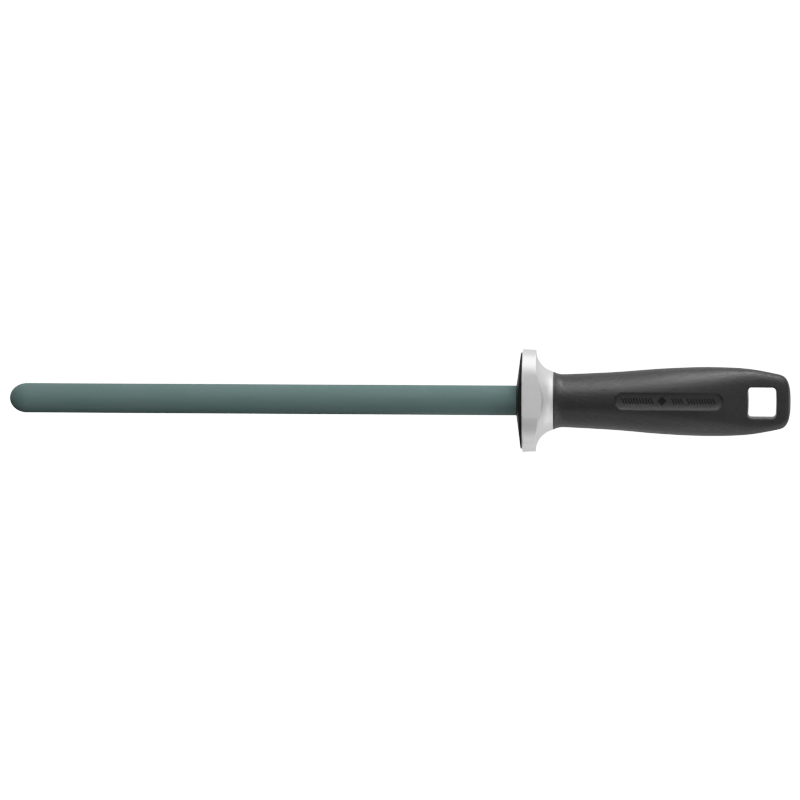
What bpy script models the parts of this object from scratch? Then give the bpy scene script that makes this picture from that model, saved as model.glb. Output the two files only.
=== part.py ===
"""Ceramic sharpening rod for kitchen knives: a domed rod, an oval metal guard and a black moulded grip.

Run with: blender --background --python part.py (Blender 4.5), or from the text editor.

Frame, in metres: the tool lies on its broad side with its axis along X. +X points to the end of the grip, so the
rod's tip is at low X, and +Z is up, out of the broad face. The origin is at the middle of the length and of the
width, on the plane that the guard's flat side rests on.

Every piece is modelled in the tool's own axes, where X = 0 is the nose of the guard's front cover and the axis is
Y = Z = 0. An empty then carries all of them to their place.
"""

from math import cos, pi, sin, tau

import bmesh
import bpy
from mathutils import Vector

MM = 0.001

# Overall lengths
ROD_EXPOSED = 229.7 * MM
HANDLE_LENGTH = 124.3 * MM
GAP = 0.3 * MM

# Rod, drawn with a very slight taper towards a domed tip
ROD_TIP_RADIUS = 6.8 * MM
ROD_SEAT_RADIUS = 6.9 * MM
ROD_DOME_LENGTH = 7.9 * MM
ROD_SEATED = 51 * MM
ROD_END_CHAMFER = 0.5 * MM

# Bond and cushion that hold the rod's seated end
BOND_START = 8 * MM
BOND_LENGTH = 41 * MM
BOND_WALL = 0.5 * MM
CUSHION_THICKNESS = 2.5 * MM

# Core: the stiff tube through the guard and into the grip
CORE_START = 4.1 * MM
CORE_END = 60 * MM
CORE_RADIUS = 9.2 * MM
CORE_RIB_RADIUS = 10.3 * MM
CORE_RIB_WIDTH = 3 * MM
CORE_RIB_STATIONS = (34 * MM, 43 * MM, 52 * MM)
CORE_FLAT = 8.5 * MM
CORE_SPIGOT_END = 16.9 * MM

# Guard
GUARD_HALF_HEIGHT = 23.35 * MM
GUARD_HALF_DEPTH = 16.47 * MM
GUARD_FLAT = 16.3 * MM
GUARD_EXPONENT = 3.0
GUARD_CORNER = 0.35 * MM
GUARD_LIP_START = 2.6 * MM
GUARD_LIP_SLOPE = 0.03
GUARD_RIM_END = 9.0 * MM
GUARD_DRAFT = 0.988
GUARD_SOFT_EDGE = 0.35 * MM
FLARE_RADIUS = 10.0 * MM
FLARE_START_RADIUS = 23.05 * MM
JOINT = 16.8 * MM
JOINT_RADIUS = 13.3 * MM
POCKET_FLOOR = 6.5 * MM

# Front cover
COVER_INSET = 1.5 * MM
COVER_SLOPE = 0.125
COVER_WALL = 1.6 * MM
COVER_EDGE = 0.5 * MM
COVER_HUB_RADIUS = 10.4 * MM
COVER_HUB_END = 3.8 * MM
COVER_SKIRT_WALL = 1.4 * MM
SEAL_SEAT_RADIUS = 9.1 * MM
SEAL_SEAT_START = 1.9 * MM

# Seal ring on the rod, and the push-on washer that locks the guard to the core
SEAL_SECTION = 0.75 * MM
SEAL_MIDDLE = 3.0 * MM
WASHER_RADIUS = 12.6 * MM
WASHER_THICKNESS = 0.7 * MM
WASHER_DISH = 0.5 * MM
WASHER_TEETH = 8
WASHER_SLOT_WIDTH = 1.4 * MM
WASHER_SLOT_RADIUS = 11.2 * MM

# Grip. Its stations are (distance behind the joint, value), joined by smooth curves.
GRIP_LENGTH = HANDLE_LENGTH - JOINT
GRIP_HALF_WIDTH = (
    (0.0, 12.1),
    (6.0, 12.2),
    (27.7, 13.3),
    (49.5, 15.0),
    (69.6, 15.75),
    (87.5, 15.1),
    (101.0, 12.8),
    (107.5, 11.1),
)
GRIP_HALF_DEPTH = (
    (0.0, 12.0),
    (6.0, 12.0),
    (27.7, 12.6),
    (44.0, 13.1),
    (58.0, 13.0),
    (68.0, 12.2),
    (78.0, 10.6),
    (88.0, 8.6),
    (98.0, 7.0),
    (107.5, 6.3),
)
GRIP_SQUARENESS = (
    (0.0, 2.0),
    (27.7, 2.05),
    (49.5, 2.2),
    (66.0, 2.4),
    (76.0, 2.6),
    (85.0, 3.1),
    (92.0, 3.7),
    (99.0, 4.2),
    (107.5, 4.2),
)
COLLAR_RISE = 1.15 * MM
COLLAR_LENGTH = 4.2 * MM
END_LENGTH = 6.5 * MM
END_DEPTH_LENGTH = 2.5 * MM

# Hanging hole through the grip
HOLE_CENTRE = 94.4 * MM
HOLE_LENGTH = 13.0 * MM
HOLE_WIDTH = 13.6 * MM
HOLE_CORNER = 1.6 * MM
HOLE_BOW = 0.3 * MM
HOLE_CHAMFER = 0.7 * MM
HOLE_DRAFT = 0.4 * MM

# Shallow label recess in each broad face, with round ends
RECESS_START = 27.4 * MM
RECESS_END = 76.8 * MM
RECESS_HALF_WIDTH = 4.0 * MM
RECESS_DEPTH_START = 1.3 * MM
RECESS_DEPTH_END = 1.0 * MM

# Mesh fineness
TURNED_STEPS = 40
OVAL_STEPS = 64
GRIP_STEPS = 40

# How far a cutter runs past what it cuts
PAST = 2 * MM

# The tool's own X = 0 in the world, so that the origin is at the middle of the whole length
NOSE_X = (ROD_EXPOSED - HANDLE_LENGTH) / 2


def clear_scene():
    for old in list(bpy.data.objects):
        bpy.data.objects.remove(old, do_unlink=True)


def new_collection(name):
    collection = bpy.data.collections.new(name)
    bpy.context.scene.collection.children.link(collection)
    return collection


def make_material(name, colour, roughness, metallic):
    material = bpy.data.materials.new(name)
    material.use_nodes = True
    shader = material.node_tree.nodes["Principled BSDF"]
    shader.inputs["Base Color"].default_value = (*colour, 1.0)
    shader.inputs["Roughness"].default_value = roughness
    shader.inputs["Metallic"].default_value = metallic
    material.diffuse_color = (*colour, 1.0)
    return material


def make_object(name, mesh, collection, material=None):
    obj = bpy.data.objects.new(name, mesh)
    collection.objects.link(obj)
    if material is not None:
        mesh.materials.append(material)
    return obj


def as_cutter(obj):
    obj.hide_render = True
    obj.display_type = "WIRE"
    return obj


def shade(mesh, angle_degrees=30):
    mesh.shade_smooth()
    mesh.set_sharp_from_angle(angle=angle_degrees * pi / 180)


def arc(centre_x, centre_r, radius, start, end, steps):
    """Points of an arc in the plane of X and the distance from the axis, with angles in degrees from +X."""
    points = []
    for i in range(steps + 1):
        angle = (start + (end - start) * i / steps) * pi / 180
        points.append((centre_x + radius * cos(angle), centre_r + radius * sin(angle)))
    return points


def turned(name, profile, collection, material=None, closed=True):
    """A turned solid from (x, radius) points, its outer side listed from high X to low X."""
    mesh = bpy.data.meshes.new(name)
    points = [(radius, 0.0, x) for x, radius in profile]
    edges = [(i, i + 1) for i in range(len(points) - 1)]
    if closed:
        edges.append((len(points) - 1, 0))
    mesh.from_pydata(points, edges, [])
    obj = make_object(name, mesh, collection, material)
    obj.rotation_euler = (0, pi / 2, 0)
    screw = obj.modifiers.new("turn", "SCREW")
    screw.steps = TURNED_STEPS
    screw.render_steps = TURNED_STEPS
    screw.use_merge_vertices = True
    screw.merge_threshold = 0.00001
    screw.use_smooth_shade = True
    return obj


def loft(name, rings, collection, material=None, closed=False):
    """Skin a list of rings of equal length; closed joins the last ring to the first, else the ends are filled."""
    bm = bmesh.new()
    rows = [[bm.verts.new(point) for point in ring] for ring in rings]
    pairs = list(zip(rows, rows[1:]))
    if closed:
        pairs.append((rows[-1], rows[0]))
    else:
        bm.faces.new(rows[0])
        bm.faces.new(rows[-1])
    for first, second in pairs:
        count = len(first)
        for i in range(count):
            j = (i + 1) % count
            bm.faces.new((first[i], first[j], second[j], second[i]))
    bmesh.ops.recalc_face_normals(bm, faces=bm.faces)
    mesh = bpy.data.meshes.new(name)
    bm.to_mesh(mesh)
    bm.free()
    shade(mesh)
    return make_object(name, mesh, collection, material)


def box_cutter(name, size, location, turn, cutters):
    """A box of a size, centred on a point and turned about X."""
    bpy.ops.mesh.primitive_cube_add(size=1)
    box = bpy.context.object
    box.name = name
    for owner in list(box.users_collection):
        owner.objects.unlink(box)
    cutters.objects.link(box)
    box.scale = size
    box.location = location
    box.rotation_euler = (turn, 0, 0)
    return as_cutter(box)


def cut(obj, cutter):
    boolean = obj.modifiers.new("cut " + cutter.name, "BOOLEAN")
    boolean.operation = "DIFFERENCE"
    boolean.solver = "EXACT"
    boolean.object = cutter


def smooth_value(stations, x):
    """Value at x of a smooth curve through (x, value) stations, with the slope at each from its neighbours."""
    last = len(stations) - 1
    x = min(max(x, stations[0][0]), stations[last][0])
    i = 0
    while i < last - 1 and x > stations[i + 1][0]:
        i += 1

    def slope(k):
        low = stations[max(k - 1, 0)]
        high = stations[min(k + 1, last)]
        return (high[1] - low[1]) / (high[0] - low[0])

    (x0, v0), (x1, v1) = stations[i], stations[i + 1]
    span = x1 - x0
    t = (x - x0) / span
    rise = v1 - v0
    bend_in = slope(i) * span - rise
    bend_out = rise - slope(i + 1) * span
    return v0 + rise * t + t * (1 - t) * (bend_in * (1 - t) + bend_out * t)


def signed_power(value, power):
    return abs(value) ** power * (1 if value >= 0 else -1)


# ------------------------------------------------------------------------------------------------ oval outlines


def oval(inset=0.0, height_scale=1.0):
    """The guard's outline as (y, z) points, moved inwards by inset: a superellipse with two flat broad sides."""
    points = []
    for i in range(OVAL_STEPS):
        angle = tau * (i + 0.5) / OVAL_STEPS
        c, s = cos(angle), sin(angle)
        reach = abs(c / GUARD_HALF_HEIGHT) ** GUARD_EXPONENT + abs(s / GUARD_HALF_DEPTH) ** GUARD_EXPONENT
        reach **= -1 / GUARD_EXPONENT
        if abs(s) * reach > GUARD_FLAT:
            reach = GUARD_FLAT / abs(s)
            normal = Vector((0, s)).normalized()
        else:
            power = GUARD_EXPONENT - 1
            normal = Vector(
                (
                    signed_power(c * reach, power) / GUARD_HALF_HEIGHT**GUARD_EXPONENT,
                    signed_power(s * reach, power) / GUARD_HALF_DEPTH**GUARD_EXPONENT,
                )
            ).normalized()
        y = c * reach - normal.x * inset
        z = s * reach - normal.y * inset
        points.append((y * height_scale, z))
    return points


def circle(radius):
    """Points of a circle in the same directions as oval()'s."""
    angles = [tau * (i + 0.5) / OVAL_STEPS for i in range(OVAL_STEPS)]
    return [(radius * cos(a), radius * sin(a)) for a in angles]


def double_flat(radius, flat):
    """A circle whose two sides in Z are cut flat."""
    return [(y, max(-flat, min(flat, z))) for y, z in circle(radius)]


def flat_ring(outline, x):
    return [(x, y, z) for y, z in outline]


def cone_x(radius):
    """X of the cover's low cone."""
    return COVER_SLOPE * max(0.0, radius - ROD_SEAT_RADIUS)


def lip_ring(outline, back):
    """A ring that lies a distance back behind the guard's front lip, a cone a little flatter than the cover's."""
    ring = []
    for y, z in outline:
        radius = Vector((y, z)).length
        ring.append((GUARD_LIP_START + GUARD_LIP_SLOPE * (radius - GUARD_FLAT) + back, y, z))
    return ring


def cone_ring(outline, back):
    """A ring that lies a distance back behind the low cone."""
    return [(cone_x(Vector((y, z)).length) + back, y, z) for y, z in outline]


def flare_x(radius):
    """X of the concave flare behind the rim, where it reaches a radius."""
    fall = FLARE_START_RADIUS - radius
    return GUARD_RIM_END + FLARE_RADIUS - (FLARE_RADIUS**2 - min(fall, FLARE_RADIUS) ** 2) ** 0.5


def flare_ring(outline, ease, joint_share):
    """A ring on the flare, from the oval outline at joint_share 0 to the round joint at 1."""
    ring = []
    for (y, z), (joint_y, joint_z) in zip(outline, circle(JOINT_RADIUS)):
        start = Vector((y, z)).length
        end = JOINT_RADIUS
        radius = start + (end - start) * joint_share
        shrink = radius / start
        side_y = y * shrink + (joint_y * radius / end - y * shrink) * ease
        side_z = z * shrink + (joint_z * radius / end - z * shrink) * ease
        ring.append((flare_x(Vector((side_y, side_z)).length), side_y, side_z))
    return ring


# ------------------------------------------------------------------------------------------------ pieces


def make_rod(collection):
    ceramic = make_material("green_ceramic", (0.105, 0.175, 0.165), 0.62, 0.0)
    straight_end = -ROD_EXPOSED + ROD_DOME_LENGTH
    profile = [
        (ROD_SEATED, 0.0),
        (ROD_SEATED, ROD_SEAT_RADIUS - ROD_END_CHAMFER),
        (ROD_SEATED - ROD_END_CHAMFER, ROD_SEAT_RADIUS),
        (0.0, ROD_SEAT_RADIUS),
    ]
    dome_steps = 8
    for i in range(dome_steps + 1):
        angle = i / dome_steps * pi / 2
        profile.append((straight_end - ROD_DOME_LENGTH * sin(angle), ROD_TIP_RADIUS * cos(angle)))
    profile[-1] = (-ROD_EXPOSED, 0.0)
    return turned("ceramic_rod", profile, collection, ceramic, closed=False)


def make_bond(collection):
    epoxy = make_material("epoxy", (0.55, 0.5, 0.38), 0.5, 0.0)
    inner = ROD_SEAT_RADIUS + GAP
    outer = inner + BOND_WALL
    end = BOND_START + BOND_LENGTH
    profile = [(end, outer), (BOND_START, outer), (BOND_START, inner), (end, inner)]
    return turned("rod_bond", profile, collection, epoxy)


def socket_radius():
    """Radius of the core's socket, which clears the bond."""
    return ROD_SEAT_RADIUS + BOND_WALL + 2 * GAP


def make_cushion(collection):
    rubber = make_material("cushion_rubber", (0.05, 0.05, 0.05), 0.8, 0.0)
    radius = socket_radius() - GAP
    start = ROD_SEATED + GAP
    end = start + CUSHION_THICKNESS
    profile = [(end, 0.0), (end, radius), (start, radius), (start, 0.0)]
    return turned("rod_end_cushion", profile, collection, rubber, closed=False)


def core_outline(grow):
    """The core's outer profile from its blind end to its spigot, moved outwards by grow."""
    profile = [(CORE_END + grow, 0.0), (CORE_END + grow, CORE_RADIUS + grow)]
    for station in reversed(CORE_RIB_STATIONS):
        profile.append((station + CORE_RIB_WIDTH + grow, CORE_RADIUS + grow))
        profile.append((station + CORE_RIB_WIDTH / 2 + grow, CORE_RIB_RADIUS + grow))
        profile.append((station - CORE_RIB_WIDTH / 2 - grow, CORE_RIB_RADIUS + grow))
        profile.append((station - CORE_RIB_WIDTH - grow, CORE_RADIUS + grow))
    return profile


def make_core(collection, cutters):
    nylon = make_material("glass_filled_nylon", (0.16, 0.16, 0.15), 0.55, 0.0)
    socket_end = ROD_SEATED + CUSHION_THICKNESS + 2 * GAP
    socket = socket_radius()
    profile = core_outline(0.0)
    profile += [(CORE_START, CORE_RADIUS), (CORE_START, socket), (socket_end, socket), (socket_end, 0.0)]
    core = turned("handle_core", profile, collection, nylon, closed=False)
    length = CORE_SPIGOT_END - CORE_START + PAST
    size = (length, 3 * CORE_RADIUS, CORE_RADIUS)
    for side, label in ((1, "upper"), (-1, "lower")):
        middle = (CORE_SPIGOT_END - length / 2, 0, side * (CORE_FLAT + CORE_RADIUS / 2))
        cut(core, box_cutter("spigot_flat_" + label, size, middle, 0, cutters))
    return core


def make_guard(collection):
    alloy = make_material("satin_alloy", (0.62, 0.62, 0.62), 0.38, 1.0)
    pocket_inset = COVER_INSET - GAP
    rear = oval(0.0, GUARD_DRAFT)
    rear_soft = oval(GUARD_SOFT_EDGE, GUARD_DRAFT)
    rings = [lip_ring(oval(pocket_inset), 0.0)]
    corner_steps = 3
    for i in range(corner_steps + 1):
        angle = i / corner_steps * pi / 2
        inset = GUARD_CORNER * (1 - sin(angle))
        rings.append(lip_ring(oval(inset), GUARD_CORNER * (1 - cos(angle))))
    rim_end = [
        (flare_x(Vector((y, z)).length) - GUARD_SOFT_EDGE, y, z) for y, z in rear
    ]
    rings.append(rim_end)
    for share in (0.0, 0.12, 0.26, 0.42, 0.6, 0.8, 1.0):
        rings.append(flare_ring(rear_soft, share * share, share))
    bore = double_flat(CORE_RADIUS + GAP, CORE_FLAT + GAP)
    joint_ring = flat_ring(circle(JOINT_RADIUS), JOINT - GAP / 2)
    rings[-1] = joint_ring
    rings.append(flat_ring(bore, JOINT - GAP / 2))
    rings.append(flat_ring(bore, POCKET_FLOOR))
    rings.append(flat_ring(oval(pocket_inset), POCKET_FLOOR))
    return loft("guard_shell", rings, collection, alloy, closed=True)


def make_cover(collection):
    black = make_material("cover_plastic", (0.012, 0.012, 0.013), 0.5, 0.0)
    bore = ROD_SEAT_RADIUS + GAP
    skirt_end = POCKET_FLOOR - GAP
    outer = oval(COVER_INSET)
    skirt_inner = oval(COVER_INSET + COVER_SKIRT_WALL)
    rings = [
        flat_ring(circle(bore), 0.3 * MM),
        flat_ring(circle(bore + 0.3 * MM), 0.0),
        cone_ring(circle(bore + 2.2 * MM), 0.0),
        cone_ring(oval(COVER_INSET + COVER_EDGE), 0.0),
        cone_ring(oval(COVER_INSET + 0.3 * COVER_EDGE), 0.3 * COVER_EDGE),
        cone_ring(outer, COVER_EDGE),
        flat_ring(outer, skirt_end),
        flat_ring(skirt_inner, skirt_end),
        cone_ring(skirt_inner, COVER_WALL),
        cone_ring(circle(COVER_HUB_RADIUS), COVER_WALL),
        flat_ring(circle(COVER_HUB_RADIUS), COVER_HUB_END),
        flat_ring(circle(SEAL_SEAT_RADIUS), COVER_HUB_END),
        flat_ring(circle(SEAL_SEAT_RADIUS), SEAL_SEAT_START),
        flat_ring(circle(bore), SEAL_SEAT_START),
    ]
    return loft("front_cover", rings, collection, black, closed=True)


def make_seal(collection):
    rubber = make_material("seal_rubber", (0.02, 0.02, 0.02), 0.7, 0.0)
    ring_radius = ROD_SEAT_RADIUS + GAP + SEAL_SECTION
    section = arc(SEAL_MIDDLE, ring_radius, SEAL_SECTION, 0, 360, 8)[:-1]
    seal = turned("rod_seal", section, collection, rubber)
    return seal


def make_washer(collection, cutters):
    spring_steel = make_material("spring_steel", (0.5, 0.5, 0.5), 0.35, 1.0)
    inner = CORE_RADIUS + GAP
    back = POCKET_FLOOR - GAP
    profile = [
        (back, WASHER_RADIUS),
        (back - WASHER_THICKNESS, WASHER_RADIUS),
        (back - WASHER_THICKNESS - WASHER_DISH, inner),
        (back - WASHER_DISH, inner),
    ]
    washer = turned("guard_washer", profile, collection, spring_steel)
    slot_reach = (inner - PAST + WASHER_SLOT_RADIUS) / 2
    slot_size = (3 * PAST, WASHER_SLOT_RADIUS - inner + PAST, WASHER_SLOT_WIDTH)
    for i in range(WASHER_TEETH):
        angle = tau * (i + 0.5) / WASHER_TEETH
        middle = (back - WASHER_THICKNESS, slot_reach * cos(angle), slot_reach * sin(angle))
        cut(washer, box_cutter(f"washer_slot_{i + 1}", slot_size, middle, angle, cutters))
    return washer


# ------------------------------------------------------------------------------------------------ grip


def end_closure(distance, length, power, root):
    """Share of the full size left at a distance behind the joint, closing over the last stretch of a length."""
    t = max(0.0, (distance - (GRIP_LENGTH - length)) / length)
    return max(0.0, 1 - t**power) ** (1 / root)


def half_width(distance):
    side = smooth_value(GRIP_HALF_WIDTH, distance / MM) * MM
    collar = COLLAR_RISE * max(0.0, 1 - distance / COLLAR_LENGTH) ** 2
    return (side + collar) * end_closure(distance, END_LENGTH, 4, 2.5)


def half_depth(distance):
    side = smooth_value(GRIP_HALF_DEPTH, distance / MM) * MM
    collar = COLLAR_RISE * max(0.0, 1 - distance / COLLAR_LENGTH) ** 2
    return (side + collar) * end_closure(distance, END_DEPTH_LENGTH, 3, 2)


def squareness(distance):
    return smooth_value(GRIP_SQUARENESS, distance / MM)


def grip_surface_z(distance, y):
    """Height of the grip's upper surface above the axis."""
    power = squareness(distance)
    share = min(1.0, abs(y) / half_width(distance))
    return half_depth(distance) * (1 - share**power) ** (1 / power)


def grip_ring(distance):
    power = 2 / squareness(distance)
    ring = []
    for i in range(GRIP_STEPS):
        angle = tau * i / GRIP_STEPS
        y = half_width(distance) * signed_power(cos(angle), power)
        z = half_depth(distance) * signed_power(sin(angle), power)
        ring.append((JOINT + distance, y, z))
    return ring


def grip_distances():
    """Stations along the grip, close together at the collar and round the end."""
    collar = [COLLAR_LENGTH * share for share in (0.25, 0.5, 0.75, 1.0)]
    middle_start = COLLAR_LENGTH
    middle_end = GRIP_LENGTH - END_LENGTH
    middle_steps = 20
    span = middle_end - middle_start
    middle = [middle_start + span * (i + 1) / middle_steps for i in range(middle_steps)]
    end_steps = 8
    end = [middle_end + END_LENGTH * sin((i + 1) / end_steps * 0.48 * pi) for i in range(end_steps)]
    return [GAP / 2] + collar + middle + end


def hole_outline(grow):
    """The hole's outline as (x, y) points: a rounded rectangle whose two ends bow towards the grip's end."""
    half_x = HOLE_LENGTH / 2 + grow
    half_y = HOLE_WIDTH / 2 + grow
    corner = HOLE_CORNER + grow
    steps = 4
    points = []
    for sign_x, sign_y, start in ((1, 1, 0), (-1, 1, 90), (-1, -1, 180), (1, -1, 270)):
        centre_x = sign_x * (half_x - corner)
        centre_y = sign_y * (half_y - corner)
        for i in range(steps + 1):
            angle = (start + 90 * i / steps) * pi / 180
            points.append((centre_x + corner * cos(angle), centre_y + corner * sin(angle)))
        if start in (0, 180):
            continue
        across = [(sign_x * half_x, -sign_y * share * (half_y - corner)) for share in (-0.5, 0.0, 0.5)]
        points.extend(across)
    middle = JOINT + HOLE_CENTRE
    bowed = []
    for x, y in points:
        bow = HOLE_BOW * (0.5 - (y / half_y) ** 2)
        bowed.append((middle + x + bow, y))
    return bowed


def make_hole_cutter(cutters):
    """A cutter for the hole: two chamfered mouths that follow the grip's surface, and a wall drafted downwards."""
    above = 1.5 * MM

    def ring(grow, lift, side):
        outline = hole_outline(grow)
        return [(x, y, side * (grip_surface_z(x - JOINT, y) + lift)) for x, y in outline]

    rings = [
        ring(HOLE_CHAMFER + above, above, 1),
        ring(0.0, -HOLE_CHAMFER, 1),
        ring(-HOLE_DRAFT, -HOLE_CHAMFER - HOLE_DRAFT, -1),
        ring(HOLE_CHAMFER + above, above, -1),
    ]
    return as_cutter(loft("hole_cutter", rings, cutters))


def stadium(start, end, radius):
    """A round-ended slot's outline as (x, y) points, with a point every few millimetres along its sides."""
    steps = 10
    side_steps = 8
    first = start + radius
    last = end - radius
    points = []
    for i in range(steps + 1):
        angle = (-90 + 180 * i / steps) * pi / 180
        points.append((last + radius * cos(angle), radius * sin(angle)))
    for i in range(1, side_steps):
        points.append((last + (first - last) * i / side_steps, radius))
    for i in range(steps + 1):
        angle = (90 + 180 * i / steps) * pi / 180
        points.append((first + radius * cos(angle), radius * sin(angle)))
    for i in range(1, side_steps):
        points.append((first + (last - first) * i / side_steps, -radius))
    return points


def recess_floor_z(distance):
    """Height of the recess's floor above the axis, flat across and following the grip along."""
    share = (distance - RECESS_START) / (RECESS_END - RECESS_START)
    depth = RECESS_DEPTH_START + (RECESS_DEPTH_END - RECESS_DEPTH_START) * share
    return half_depth(distance) - depth


def make_recess_cutter(name, side, cutters):
    outline = stadium(RECESS_START, RECESS_END, RECESS_HALF_WIDTH)
    top = [(JOINT + x, y, side * (half_depth(x) + PAST)) for x, y in outline]
    floor = [(JOINT + x, y, side * recess_floor_z(x)) for x, y in outline]
    bm = bmesh.new()
    rows = [[bm.verts.new(point) for point in ring] for ring in (top, floor)]
    count = len(outline)
    for i in range(count):
        j = (i + 1) % count
        bm.faces.new((rows[0][i], rows[0][j], rows[1][j], rows[1][i]))
    for row in rows:
        edges = [bm.edges.get((row[i], row[(i + 1) % count])) for i in range(count)]
        bmesh.ops.triangle_fill(bm, edges=edges, use_beauty=True)
    bmesh.ops.recalc_face_normals(bm, faces=bm.faces)
    mesh = bpy.data.meshes.new(name)
    bm.to_mesh(mesh)
    bm.free()
    return as_cutter(make_object(name, mesh, cutters))


def make_grip(collection, cutters):
    black = make_material("grip_plastic", (0.018, 0.018, 0.018), 0.48, 0.0)
    grip = loft("grip", [grip_ring(distance) for distance in grip_distances()], collection, black)
    bore_profile = core_outline(GAP) + [(JOINT - PAST, CORE_RADIUS + GAP), (JOINT - PAST, 0.0)]
    bore = turned("core_cutter", bore_profile, cutters, closed=False)
    cut(grip, as_cutter(bore))
    cut(grip, make_hole_cutter(cutters))
    cut(grip, make_recess_cutter("upper_recess_cutter", 1, cutters))
    cut(grip, make_recess_cutter("lower_recess_cutter", -1, cutters))
    return grip


def main():
    clear_scene()
    parts = new_collection("sharpening_rod")
    cutters = new_collection("cutters")
    make_rod(parts)
    make_bond(parts)
    make_cushion(parts)
    make_core(parts, cutters)
    make_guard(parts)
    make_cover(parts)
    make_seal(parts)
    make_washer(parts, cutters)
    make_grip(parts, cutters)
    axis = bpy.data.objects.new("tool_axis", None)
    axis.location = (NOSE_X, 0, GUARD_FLAT)
    parts.objects.link(axis)
    for obj in list(parts.objects) + list(cutters.objects):
        if obj is not axis:
            obj.parent = axis
    bpy.context.view_layer.update()


main()
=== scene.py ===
"""Looks of a ceramic sharpening rod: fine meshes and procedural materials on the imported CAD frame.

The frame's own axes are kept: +X runs along the tool to the grip's end, +Z is up out of the grip's broad
face, and the tool rests on the plane Z = 0. Lengths along the tool that are called u start at the nose of
the front cover.
"""

from math import cos, exp, hypot, pi, radians, sin, tan, tau

import bpy
import numpy as np
from mathutils import Euler, Matrix, Vector
from mathutils.geometry import delaunay_2d_cdt


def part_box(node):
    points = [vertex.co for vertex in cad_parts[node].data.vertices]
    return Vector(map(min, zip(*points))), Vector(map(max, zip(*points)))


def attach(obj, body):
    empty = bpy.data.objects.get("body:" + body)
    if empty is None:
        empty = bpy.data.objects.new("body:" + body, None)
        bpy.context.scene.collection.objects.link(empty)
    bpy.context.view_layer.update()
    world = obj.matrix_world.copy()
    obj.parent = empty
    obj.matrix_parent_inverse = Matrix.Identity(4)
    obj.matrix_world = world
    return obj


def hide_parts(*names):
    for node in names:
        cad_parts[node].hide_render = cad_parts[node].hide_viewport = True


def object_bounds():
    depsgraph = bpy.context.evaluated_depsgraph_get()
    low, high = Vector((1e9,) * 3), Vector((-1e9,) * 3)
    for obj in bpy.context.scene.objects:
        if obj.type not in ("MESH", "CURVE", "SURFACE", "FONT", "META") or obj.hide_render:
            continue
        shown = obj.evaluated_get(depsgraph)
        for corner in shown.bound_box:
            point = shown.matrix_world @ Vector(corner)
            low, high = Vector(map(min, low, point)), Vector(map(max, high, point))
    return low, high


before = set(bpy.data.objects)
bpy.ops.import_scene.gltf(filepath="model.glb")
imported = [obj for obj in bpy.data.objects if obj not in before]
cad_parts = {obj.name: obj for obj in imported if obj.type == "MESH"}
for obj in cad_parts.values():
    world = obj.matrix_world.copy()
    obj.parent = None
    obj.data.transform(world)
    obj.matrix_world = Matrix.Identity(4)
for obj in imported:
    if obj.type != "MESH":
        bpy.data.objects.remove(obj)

MM = 0.001
cad_low, cad_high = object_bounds()

# Places read from the frame
rod_low, rod_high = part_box("ceramic_rod")
cover_low, cover_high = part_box("front_cover")
_, guard_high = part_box("guard_shell")
_, grip_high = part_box("grip")
NOSE_X = cover_low.x
AXIS_Z = (rod_low.z + rod_high.z) / 2
COVER_LENGTH = cover_high.x - NOSE_X

# Rod
ROD_EXPOSED = NOSE_X - rod_low.x
ROD_SEATED = rod_high.x - NOSE_X
ROD_SEAT_RADIUS = (rod_high.z - rod_low.z) / 2
ROD_TIP_RADIUS = ROD_SEAT_RADIUS - 0.1 * MM
ROD_DOME_LENGTH = 7.9 * MM
ROD_END_CHAMFER = 0.5 * MM

# Guard: a superellipse with two flat broad sides, and a concave flare down to the round joint with the grip
GUARD_HALF_HEIGHT = guard_high.y
GUARD_FLAT = guard_high.z - AXIS_Z
GUARD_HALF_DEPTH = GUARD_FLAT + 0.17 * MM
GUARD_EXPONENT = 3.0
GUARD_CORNER = 0.35 * MM
GUARD_LIP_EDGE = 0.12 * MM
GUARD_LIP_EDGE_DEPTH = 0.1 * MM
GUARD_LIP_START = 2.6 * MM
GUARD_LIP_SLOPE = 0.03
GUARD_RIM_END = 9.0 * MM
GUARD_DRAFT = 0.988
GUARD_SOFT_EDGE = 0.3 * MM
GUARD_SOFT_INWARDS = 0.8 * GUARD_SOFT_EDGE
GUARD_SOFT_BACK = 0.5 * GUARD_SOFT_EDGE
GUARD_CREASE = 0.5 * MM
GUARD_CREASE_LENGTH = 0.5 * MM
GUARD_CREASE_FADE = 1.5
# Width over which the painted shade along the flare's crease fades out
GUARD_CREASE_SHADE_WIDTH = 0.9 * MM
FLARE_RADIUS = 10.0 * MM
FLARE_START_RADIUS = 23.05 * MM
JOINT = 16.8 * MM
JOINT_RADIUS = 13.3 * MM
JOINT_GAP = 0.1 * MM
JOINT_CHAMFER = 0.12 * MM
GUARD_BORE = 9.5 * MM
POCKET_FLOOR = COVER_LENGTH + 0.3 * MM

# Front cover
COVER_INSET = 1.5 * MM
COVER_GAP = 0.12 * MM
COVER_NOSE_EDGE = 0.35 * MM
COVER_NOSE_EASE = 4
COVER_SLOPE = 0.125
COVER_WALL = 1.6 * MM
COVER_EDGE = 0.45 * MM
COVER_SKIRT_WALL = 1.4 * MM
COVER_BORE_GAP = 0.12 * MM
COVER_HUB_RADIUS = 10.4 * MM
COVER_HUB_END = 3.8 * MM
SEAL_SEAT_RADIUS = 9.1 * MM
SEAL_SEAT_START = 1.9 * MM

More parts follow.
